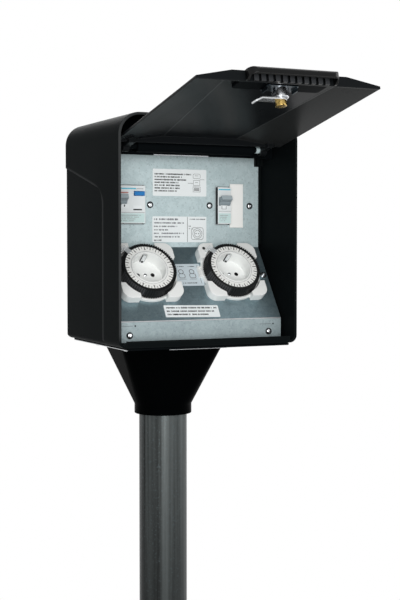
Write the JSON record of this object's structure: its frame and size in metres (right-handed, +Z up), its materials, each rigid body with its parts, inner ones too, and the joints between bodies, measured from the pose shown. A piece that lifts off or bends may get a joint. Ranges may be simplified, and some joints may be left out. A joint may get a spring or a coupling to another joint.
{
  "type": "garden socket post",
  "caption": "Steel tube post with a hooded outdoor socket head: swing-up lid with cam lock, timer sockets and breakers on a bent galvanised panel.",
  "frame": {"origin": "centre of the post tube's lower end", "axes": "+Z up along the tube, -Y towards the hood's open front, +X to the right seen from the front"},
  "size_m": [0.2276, 0.3911, 1.0928],
  "materials": {
    "galvanised": "galvanised, satin spangle",
    "black_shell": "satin, fine grain",
    "zinc": "zinc plated",
    "nickel": "nickel plated",
    "brass": "machined",
    "white_plastic": "moulded, semi-gloss",
    "black_tappets": "moulded, satin",
    "grey_plastic": "moulded, satin",
    "toggle_grey": "moulded, satin",
    "button_blue": "moulded",
    "override_red": "moulded",
    "clear_plastic": "clear",
    "rubber": "matt",
    "wire_brown": "insulation",
    "wire_blue": "insulation",
    "wire_green": "insulation"
  },
  "bodies": {
    "post_head": {"post_tube": "galvanised", "neck_sleeve": "black_shell", "neck_screws": "zinc", "head_plate": "galvanised", "head_bolts": "zinc", "floor_plate": "black_shell", "floor_screws": "zinc", "hood_shell": "black_shell", "rear_cover": "black_shell", "rear_cover_screws": "zinc", "back_plate": "galvanised", "clamp_strap": "galvanised", "clamp_bolts": "zinc", "hinge_header": "black_shell", "header_screws": "zinc", "hinge_rod": "zinc", "mounting_panel": "galvanised", "panel_screws": "zinc", "rail_brackets": "galvanised", "din_rails": "zinc", "rcd_body": "grey_plastic", "mcb_body": "grey_plastic", "blank_filler": "white_plastic", "terminal_block": "white_plastic", "terminal_screws": "brass", "tube_grommet": "rubber", "earth_stud": "brass", "timer_base_left": "white_plastic", "timer_base_right": "white_plastic", "timer_case_left": "grey_plastic", "timer_case_right": "grey_plastic", "socket_insert_left": "white_plastic", "socket_insert_right": "white_plastic", "earth_clips_left": "zinc", "earth_clips_right": "zinc", "timer_screws_left": "zinc", "timer_screws_right": "zinc", "time_pointer_left": "clear_plastic", "time_pointer_right": "clear_plastic", "supply_wires": "wire_brown", "timer_wires": "wire_blue", "earth_wire": "wire_green"},
    "lid": {"lid_panel": "black_shell", "handle_grip": "black_shell", "handle_pad": "black_shell", "lock_barrel": "nickel", "lock_clip": "zinc"},
    "lock": {"lock_plug": "nickel", "cam_lever": "zinc", "cam_screw": "brass"},
    "mcb_lever": {"mcb_toggle": "toggle_grey"},
    "rcd_lever": {"rcd_toggle": "toggle_grey"},
    "test_button": {"rcd_test_button": "button_blue"},
    "dial_wheel_left": {"dial_left": "white_plastic", "tappet_ring_left": "black_tappets"},
    "dial_wheel_right": {"dial_right": "white_plastic", "tappet_ring_right": "black_tappets"},
    "override_knob_left": {"override_left": "override_red"},
    "override_knob_right": {"override_right": "override_red"}
  },
  "joints": [
    {"name": "lid_hinge", "type": "hinge", "parent": "post_head", "child": "lid", "pos_m": [0, -0.098, 1.031], "axis": [1, 0, 0], "range_deg": [0, 90]},
    {"name": "lock_turn", "type": "hinge", "parent": "lid", "child": "lock", "pos_m": [0, -0.30812, 1.07413], "axis": [0, 0.2011, 0.9796], "range_deg": [0, 90]},
    {"name": "mcb_switch", "type": "hinge", "parent": "post_head", "child": "mcb_lever", "pos_m": [0.0571, -0.0585, 0.9698], "axis": [1, 0, 0], "range_deg": [0, 50]},
    {"name": "rcd_switch", "type": "hinge", "parent": "post_head", "child": "rcd_lever", "pos_m": [-0.0776, -0.0585, 0.9698], "axis": [1, 0, 0], "range_deg": [0, 50]},
    {"name": "test_press", "type": "slide", "parent": "post_head", "child": "test_button", "axis": [0, 1, 0], "range_m": [0, 0.0015], "stiffness_N_per_m": 600},
    {"name": "dial_turn_left", "type": "hinge", "parent": "post_head", "child": "dial_wheel_left", "pos_m": [-0.0554, -0.07746, 0.88089], "axis": [0, -0.8174, 0.5761], "continuous": true},
    {"name": "dial_turn_right", "type": "hinge", "parent": "post_head", "child": "dial_wheel_right", "pos_m": [0.0554, -0.07746, 0.88089], "axis": [0, -0.8174, 0.5761], "continuous": true},
    {"name": "override_slide_left", "type": "slide", "parent": "post_head", "child": "override_knob_left", "axis": [0, 0.5761, 0.8174], "range_m": [0, 0.004]},
    {"name": "override_slide_right", "type": "slide", "parent": "post_head", "child": "override_knob_right", "axis": [0, 0.5761, 0.8174], "range_m": [0, 0.004]}
  ]
}
